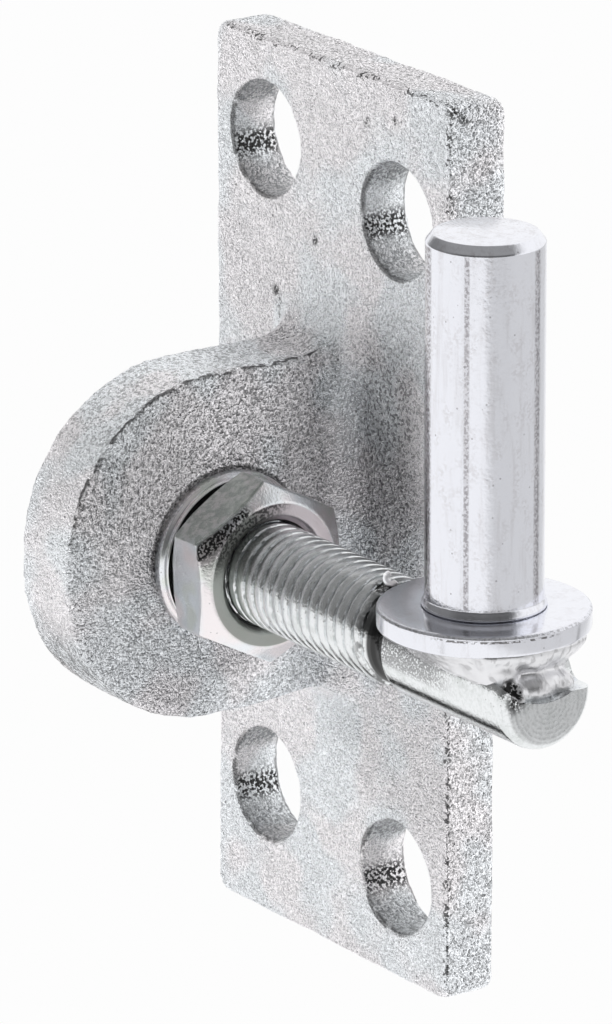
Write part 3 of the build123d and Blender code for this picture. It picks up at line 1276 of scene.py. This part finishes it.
@dataclass
class Shank:
    """The threaded shank with its plain, seated end. Sizes in millimetres."""

    radius: float = 5.95
    pitch: float = 1.75
    thread_depth: float = 0.85
    crest_share: float = 0.76
    crest_round: float = 0.12
    groove_power: float = 0.8
    run_out: float = 1.2
    neck_x: float = 39.6
    neck_width: float = 1.7
    neck_depth: float = 0.95
    tail_chamfer: float = 1.2
    end_rounding: float = 1.4
    end_steps: int = 8
    end_centre: float = 2.0
    ring_gap: float = 0.11
    plain_gap: float = 0.3
    steps: int = 96
    crease: float = 40.0
    cutter_reach: float = 14.0
    trough_radius: float = 7.7
    trough_floor: float = -2.3
    trough_start: float = 60.0
    trough_tilt: float = 0.06
    trough_rounding: Rounding = Rounding(1.5, 4, 40.0)
    shoulder: Place = (60.4, -21.0, -1.45)
    shoulder_rounding: Rounding = Rounding(1.2, 4, 40.0)
    end_dents: tuple[Dent, ...] = (
        Dent((63.8, -26.5, -1.3), 1.7, 0.5, 1.0),
        Dent((63.5, -27.1, -2.3), 1.0, 0.2, 0.9),
        # The soot of this hollow is a painted shadow under the zinc curl.
        Dent((36.4, -24.6, 4.0), 1.7, 0.15, 0.9),
    )
    curl_place: Place = (36.7, -23.8, 4.7)
    curl_facing: Place = (0.786, -0.54, 0.303)
    curl_reach: float = 0.6
    curl_width: float = 0.36
    curl_cut: Place = (36.8, -23.64, 4.8)
    curl_cut_facing: Place = (0.4, 0.7, 0.6)
    curl_cell: float = 0.05
    curl_smoothing: int = 4

    def outline(self, start: float, end: float) -> list[Spot]:
        """Draws the bar's outline from its tail to its rounded end.

        Args:
            start: The tail's place along the axis.
            end: The outer end's place along the axis.

        Returns:
            Pairs of place and radius.
        """
        tail = self.radius - self.tail_chamfer
        outline = [(start, 0.0), (start, tail)]
        rings = int((THREAD_END - start) / self.ring_gap)
        for ring in range(1, rings + 1):
            along = ring * self.ring_gap
            outline.append((start + along, min(self.radius, tail + along)))
        first, flank = outline[-1][0], end - self.end_rounding
        count = int((flank - THREAD_END) / self.plain_gap)
        for step in range(1, count + 1):
            outline.append((first + (flank - first) * step / count, self.radius))
        for step in range(1, self.end_steps + 1):
            turn = math.pi / 2 * step / self.end_steps
            along = flank + self.end_rounding * math.sin(turn)
            outline.append((along, self.radius - self.end_rounding * (1 - math.cos(turn))))
        return outline + [(end, self.end_centre), (end, 0.0)]

    def cut_thread(self, shank: bpy.types.Object, centre: Vector) -> None:
        """Sinks a right-handed thread of rounded ridges, which runs out at the plain end.

        Args:
            shank: The turned bar.
            centre: A point of its axis, in metres.
        """
        points = Bench.points(shank)
        middle = np.array([centre.y, centre.z]) / MM
        along, across = points[:, 0].copy(), points[:, 1:] - middle
        reach = np.linalg.norm(across, axis=1)
        angle = np.arctan2(across[:, 1], across[:, 0])
        phase = np.mod(along / self.pitch - angle / (2 * math.pi), 1.0)
        ridge = np.abs(2 * phase - 1)
        groove = ramp(ridge, self.crest_share, 1 - self.crest_share) ** self.groove_power
        groove = self.crest_round * ridge**2 + (1 - self.crest_round) * groove
        wanted = self.radius - self.thread_depth * groove * ramp(along, THREAD_END, -self.run_out)
        neck = ramp(np.abs(along - self.neck_x), self.neck_width, -self.neck_width)
        wanted = wanted - self.neck_depth * np.sqrt(neck)
        outside = reach > self.radius - self.tail_chamfer - self.thread_depth
        share = np.ones_like(reach)
        share[outside] = np.minimum(reach[outside], wanted[outside]) / reach[outside]
        points[:, 1:] = middle + across * share[:, None]
        Bench.set_points(shank, points)

    def trough_cutter(self, centre: Vector) -> bpy.types.Object:
        """Makes the round bar that hollows the seat's outer end.

        Args:
            centre: A point of the shank's axis, in metres.

        Returns:
            The cutter.
        """
        Bench.clear()
        height = (self.trough_floor + self.trough_radius) * MM
        bpy.ops.mesh.primitive_cylinder_add(
            vertices=self.steps,
            radius=self.trough_radius * MM,
            depth=self.cutter_reach * MM,
            location=((self.trough_start + self.cutter_reach / 2) * MM, centre.y, height),
            rotation=(0, math.pi / 2 + self.trough_tilt, 0),
        )
        cutter = bpy.context.object
        Bench.soften(cutter, self.trough_rounding)
        return Bench.settle(cutter, "trough_cutter")

    def shoulder_cutter(self) -> bpy.types.Object:
        """Makes the block that lowers the right side of the shank's outer end.

        Returns:
            The cutter.
        """
        Bench.clear()
        half = self.cutter_reach / 2
        middle = Vector(self.shoulder) + Vector((half, half, half))
        bpy.ops.mesh.primitive_cube_add(size=self.cutter_reach * MM, location=middle * MM)
        cutter = bpy.context.object
        Bench.soften(cutter, self.shoulder_rounding)
        return Bench.settle(cutter, "shoulder_cutter")

    def curl(self) -> bpy.types.Object:
        """Makes the small curl of zinc that is left where the thread ends.

        Returns:
            The curl.
        """
        Bench.clear()
        bpy.ops.mesh.primitive_torus_add(
            location=Vector(self.curl_place) * MM,
            rotation=Vector(self.curl_facing).to_track_quat("Z", "Y").to_euler(),
            major_radius=self.curl_reach * MM,
            minor_radius=self.curl_width * MM,
            major_segments=32,
            minor_segments=12,
        )
        curl = Bench.settle(bpy.context.object, "zinc_curl")
        Bench.slice_off(curl, [(self.curl_cut, self.curl_cut_facing)])
        Bench.reskin(curl, self.curl_cell, self.curl_smoothing)
        PlatedZinc("curl_coat", "weld_zinc", metal=0.5, gloss=0.35).dress(curl)
        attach(curl, "shank")
        return curl

    def build(self) -> list[bpy.types.Object]:
        """Makes and dresses the shank.

        Returns:
            The finished pieces.
        """
        low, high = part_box("threaded_shank")
        centre = (low + high) / 2
        pivot = Vector((0, centre.y, low.z + self.radius * MM))
        outline = self.outline(low.x / MM, high.x / MM)
        shank = Bench.lathe("shank", outline, pivot, Axis.SHANK, self.steps)
        self.cut_thread(shank, pivot)
        Bench.carve(shank, self.trough_cutter(pivot))
        Bench.carve(shank, self.shoulder_cutter())
        Bench.press(shank, self.end_dents)
        Bench.shade(shank, self.crease)
        ShankZinc("shank_plating", "shank_zinc").dress(shank)
        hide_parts("threaded_shank")
        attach(shank, "shank")
        return [shank, self.curl()]


@dataclass
class PinAndCollar:
    """The upright pin, the collar at its foot and the weld under it. Sizes in millimetres."""

    pin_radius: float = 6.5
    root_radius: float = 5.3
    root_height: float = 4.5
    root_slope: float = 0.3
    chamfer_height: float = 0.95
    chamfer_width: float = 0.75
    foot_height: float = 1.0
    foot_width: float = 0.32
    foot_lip: float = 0.05
    foot_waist: Spot = (0.4, 0.9)
    pin_rounding: Rounding = Rounding(0.14, 3, 25.0)
    collar_grip: float = 0.05
    collar_rounding: Rounding = Rounding(0.5, 5, 40.0)
    steps: int = 128
    crease: float = 35.0
    weld_rough_cell: float = 0.26
    weld_rough_smoothing: int = 14
    weld_cell: float = 0.16
    weld_smoothing: int = 2
    weld_grains: tuple[Grain, ...] = (Grain(3.2, 0.25, 1), Grain(0.9, 0.06, 1))
    weld_lobes: tuple[tuple[Place, Place], ...] = (
        ((54.0, -26.8, 1.0), (7.0, 1.9, 2.4)),
        ((60.3, -26.6, 1.4), (2.7, 2.1, 2.7)),
        ((61.6, -26.3, -1.3), (2.6, 2.2, 1.6)),
        ((60.9, -22.6, -0.9), (3.1, 3.6, 1.9)),
        ((60.6, -19.6, -1.1), (3.1, 2.2, 1.5)),
        ((62.7, -22.9, 3.5), (1.2, 2.8, 2.3)),
    )
    flare: Outline = (
        (-2.6, 0.0),
        (-2.6, 8.9),
        (-1.0, 8.95),
        (0.0, 9.15),
        (0.6, 9.5),
        (1.2, 10.0),
        (1.8, 10.8),
        (2.5, 11.4),
        (3.2, 11.75),
        (3.8, 11.75),
        (3.8, 0.0),
        (-2.6, 0.0),
    )
    flare_cuts: tuple[tuple[Place, Place], ...] = (
        ((52.4, -28.4, -0.4), (0.0, -0.958, -0.287)),
        ((52.4, -16.8, -0.4), (0.0, 0.958, -0.287)),
        ((46.0, -22.6, 0.0), (-1.0, 0.0, 0.0)),
    )
    weld_dents: tuple[Dent, ...] = (
        Dent((63.4, -26.6, -0.4), 1.6, 0.6, 1.0),
        Dent((62.9, -27.3, -0.9), 0.9, 0.3, 0.9),
    )

    def pin(self) -> bpy.types.Object:
        """Makes the pin, chamfered on top, flared above the collar and slimmer inside the weld.

        Returns:
            The pin.
        """
        low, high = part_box("hinge_pin")
        _, collar_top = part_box("support_collar")
        foot = (collar_top.z - low.z) / MM
        top = (high.z - low.z) / MM
        radius = self.pin_radius
        waist, waist_width = self.foot_waist
        outline = [
            (0.0, 0.0),
            (0.0, self.root_radius),
            (self.root_height, self.root_radius),
            (self.root_height + self.root_slope, radius),
            (foot, radius),
            (foot + self.foot_lip, radius + self.foot_width),
            (foot + waist * self.foot_height, radius + self.foot_width * waist_width),
            (foot + self.foot_height, radius),
            (top - self.chamfer_height, radius),
            (top, radius - self.chamfer_width),
            (top, 0.0),
        ]
        pivot = Vector((centre_of("hinge_pin").x, centre_of("hinge_pin").y, low.z))
        pin = Bench.lathe("pin", outline, pivot, Axis.PIN, self.steps)
        Bench.soften(pin, self.pin_rounding)
        Bench.shade(pin, self.crease)
        TurnedZinc("pin_plating", "pin_zinc").dress(pin)
        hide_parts("hinge_pin")
        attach(pin, "shank")
        return pin

    def collar(self) -> bpy.types.Object:
        """Makes the collar with its rounded rim.

        Returns:
            The collar.
        """
        low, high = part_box("support_collar")
        half = (high.z - low.z) / 2 / MM
        rim = (high.x - low.x) / 2 / MM
        bore = self.pin_radius - self.collar_grip
        ring = [(-half, bore), (-half, rim), (half, rim), (half, bore), (-half, bore)]
        collar = Bench.lathe("collar", ring, centre_of("support_collar"), Axis.PIN, self.steps)
        Bench.soften(collar, self.collar_rounding)
        Bench.shade(collar, self.crease)
        coat = TurnedZinc(
            "collar_plating", "collar_zinc", ring_depth=0.0, wear=0.25, die_lines_and_reflections=()
        )
        coat.dress(collar)
        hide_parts("support_collar")
        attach(collar, "shank")
        return collar

    def lobe(self, place: Place, reach: Place) -> bpy.types.Object:
        """Makes one run of weld metal, which is melted into the bead afterwards.

        Args:
            place: Its middle, in millimetres.
            reach: How far it reaches from there along each axis, in millimetres.

        Returns:
            The run.
        """
        Bench.clear()
        middle = Vector(place) * MM
        bpy.ops.mesh.primitive_uv_sphere_add(
            segments=32, ring_count=20, radius=MM, location=middle
        )
        bpy.ops.transform.resize(value=reach, center_override=middle)
        return Bench.settle(bpy.context.object, "weld_run")

    def flared_neck(self) -> bpy.types.Object:
        """Makes the hollow-sided run of weld metal that climbs to the collar's rim.

        Returns:
            The run.
        """
        axis = centre_of("support_collar")
        foot = Vector((axis.x, axis.y, 0))
        neck = Bench.lathe("weld_neck", self.flare, foot, Axis.PIN, self.steps)
        Bench.slice_off(neck, self.flare_cuts)
        return neck

    def weld(self) -> bpy.types.Object:
        """Makes the weld's lumpy bead.

        Returns:
            The weld.
        """
        weld = Bench.copy_node("weld_bead", "weld")
        runs = [self.lobe(place, reach) for place, reach in self.weld_lobes]
        runs.append(self.flared_neck())
        Bench.take(weld)
        for run in runs:
            run.select_set(True)
        bpy.ops.object.join()
        Bench.reskin(weld, self.weld_rough_cell, self.weld_rough_smoothing)
        Bench.reskin(weld, self.weld_cell, self.weld_smoothing)
        Bench.roughen(weld, self.weld_grains)
        Bench.press(weld, self.weld_dents)
        WeldZinc("weld_coat", "weld_zinc").dress(weld)
        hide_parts("weld_bead")
        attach(weld, "shank")
        return weld

    def build(self) -> list[bpy.types.Object]:
        """Makes and dresses the pin, the collar and the weld.

        Returns:
            The finished pieces.
        """
        return [self.pin(), self.collar(), self.weld()]


@dataclass(frozen=True)
class Lamp:
    """A soft square lamp that faces the hinge. Lengths in metres, power in watts."""

    name: str
    place: Place
    width: float
    power: float

    def hang(self) -> None:
        """Adds the lamp to the scene. Mirrors don't show it."""
        data = bpy.data.lights.new(self.name, "AREA")
        data.shape = "SQUARE"
        data.size = self.width
        data.energy = self.power
        lamp = bpy.data.objects.new(self.name, data)
        bpy.context.scene.collection.objects.link(lamp)
        lamp.location = self.place
        lamp.visible_glossy = False
        lamp.rotation_mode = "QUATERNION"
        lamp.rotation_quaternion = (-Vector(self.place)).to_track_quat("-Z", "Y")


@dataclass(frozen=True)
class Strip:
    """A dark strip of floor that mirrors show, running away from the hinge. In millimetres."""

    azimuth: float
    half_width: float
    share: float
    start: Span = (300.0, 500.0)

    def mask(self, across: Signal, out: Signal) -> Signal:
        """Returns the strip's share on the strip and 0 elsewhere.

        Args:
            across: The floor's X, in millimetres.
            out: The floor's Y, in millimetres.

        Returns:
            The mask.
        """
        turn = math.radians(self.azimuth)
        along = across * math.cos(turn) + out * math.sin(turn)
        beside = abs(across * math.sin(turn) - out * math.cos(turn))
        inside = beside.fall(self.half_width * 0.5, self.half_width)
        return along.rise(*self.start) * inside * self.share


@dataclass
class Studio:
    """Camera, white surround and soft light. Lengths in metres, angles in degrees.

    White shows to the camera, and the other tones show to mirrors or light matt surfaces. The
    floor's dull and dark parts are counted in millimetres.
    """

    target: Place = (0.11039, -0.085712, 0.042756)
    distance: float = 0.900387
    azimuth: float = 55.518
    elevation: float = 17.64
    roll: float = -0.073
    lens: float = 323.379
    floor_drop: float = 0.3
    floor_size: float = 12.0
    paper: float = 0.82
    white: float = 0.982
    dull_floor: float = 0.68
    dark_floor: float = 0.02
    room: float = 0.2
    camera_side: float = 0.115
    ceiling: float = 0.30
    soft_light: float = 0.56
    dull_reach: Span = (200.0, 800.0)
    dark_out: Band = (5.0, 60.0, 90.0)
    dark_across: Band = (-400.0, 150.0, 260.0)
    camera_way: Spot = (0.82, -0.56)
    camera_cone: Span = (0.2, 0.7)
    ceiling_rise: Span = (0.3, 0.85)
    backdrop_side: Place = (-0.2, 0.9, -0.4)
    backdrop_rise: Span = (-0.1, 0.35)
    strips: tuple[Strip, ...] = (Strip(82.0, 55.0, 0.55), Strip(-78.0, 22.0, 0.4))
    lamps: tuple[Lamp, ...] = (
        Lamp("left_lamp", (-1.2, -1.3, 0.9), 0.7, 60.0),
        Lamp("right_lamp", (1.5, 0.5, 1.0), 0.5, 84.0),
    )

    def camera(self) -> None:
        """Places the camera where the photograph was taken from."""
        turn, lift = math.radians(self.azimuth), math.radians(self.elevation)
        level = math.cos(lift)
        back = Vector((math.sin(turn) * level, -math.cos(turn) * level, math.sin(lift)))
        data = bpy.data.cameras.new("camera")
        data.sensor_fit = "AUTO"
        data.sensor_width = 36.0
        data.lens = self.lens
        data.clip_end = 50.0
        camera = bpy.data.objects.new("camera", data)
        bpy.context.scene.collection.objects.link(camera)
        camera.location = Vector(self.target) + back * self.distance
        facing = (-back).to_track_quat("-Z", "Y").to_matrix().to_4x4()
        roll = Matrix.Rotation(math.radians(self.roll), 4, "Z")
        camera.matrix_world = Matrix.Translation(camera.location) @ facing @ roll
        bpy.context.scene.camera = camera

    def floor(self) -> None:
        """Lays a pale floor, plain white to the camera and duller in mirrors on the right."""
        Bench.clear()
        height = cad_box[0].z - self.floor_drop
        bpy.ops.mesh.primitive_grid_add(
            x_subdivisions=4, y_subdivisions=4, size=self.floor_size, location=(0, 0, height)
        )
        floor = Bench.settle(bpy.context.object, "floor")
        material = bpy.data.materials.new("floor_paper")
        material.use_nodes = True
        sheet = NodeSheet(material.node_tree)
        across, out, _ = sheet.parts()
        to_camera = sheet.ray("Is Camera Ray")
        mirrored = 1 - to_camera
        dull = ((across + out) * 0.7).rise(*self.dull_reach)
        tone = sheet.blend(dull * mirrored, (self.white,) * 3, (self.dull_floor,) * 3)
        shade = out.near(*self.dark_out) * across.near(*self.dark_across)
        for strip in self.strips:
            shade = shade.most(strip.mask(across, out))
        tone = sheet.blend(shade * mirrored, tone, (self.dark_floor,) * 3)
        glow = sheet.node("ShaderNodeEmission", {}, {"Color": tone, "Strength": 1.0})
        paper = sheet.node("ShaderNodeBsdfDiffuse", {}, {"Color": (self.paper,) * 3})
        seen = to_camera.most(sheet.ray("Is Glossy Ray")).most(sheet.ray("Is Transmission Ray"))
        mixed = sheet.node("ShaderNodeMixShader", {}, {0: 1 - seen, 1: glow, 2: paper})
        sheet.node("ShaderNodeOutputMaterial", {}, {"Surface": mixed})
        floor.data.materials.append(material)

    def surround(self) -> None:
        """Sets the surround: plain to eye and matt surfaces, a white backdrop to mirrors."""
        world = bpy.data.worlds.new("surround")
        bpy.context.scene.world = world
        world.use_nodes = True
        sheet = NodeSheet(world.node_tree)
        facing = sheet.node("ShaderNodeTexCoord", output="Generated")
        right, back, above = sheet.split(facing)
        backdrop = sheet.node(
            "ShaderNodeVectorMath",
            {"operation": "DOT_PRODUCT"},
            {0: facing, 1: self.backdrop_side},
            "Value",
        )
        near = (right * self.camera_way[0] + back * self.camera_way[1]).rise(*self.camera_cone)
        room = sheet.blend(near, (self.room,) * 3, (self.camera_side,) * 3)
        dim = sheet.blend(above.rise(*self.ceiling_rise), room, (self.ceiling,) * 3)
        mirrored = sheet.blend(backdrop.rise(*self.backdrop_rise), dim, (1.0, 1.0, 1.0))
        tone = sheet.blend(sheet.ray("Is Diffuse Ray"), mirrored, (self.soft_light,) * 3)
        shown = sheet.blend(sheet.ray("Is Camera Ray"), tone, (self.white,) * 3)
        light = sheet.node("ShaderNodeBackground", {}, {"Color": shown, "Strength": 1.0})
        sheet.node("ShaderNodeOutputWorld", {}, {"Surface": light})

    def build(self) -> None:
        """Sets up the camera, the surround, the floor and the lamps."""
        self.camera()
        self.surround()
        self.floor()
        for lamp in self.lamps:
            lamp.hang()
        bpy.context.scene.view_settings.view_transform = "Standard"


def report(pieces: Sequence[bpy.types.Object]) -> None:
    """Logs each piece with its number of faces."""
    for piece in pieces:
        LOG.info("%s: %d faces", piece.name, len(piece.data.polygons))


def main() -> None:
    """Builds the studio and every piece of the hinge."""
    logging.basicConfig(level=logging.INFO, format="%(name)s: %(message)s")
    Studio().build()
    for builder in (Casting(), Fastenings(), Shank(), PinAndCollar()):
        report(builder.build())


if __name__ == "__main__":
    main()
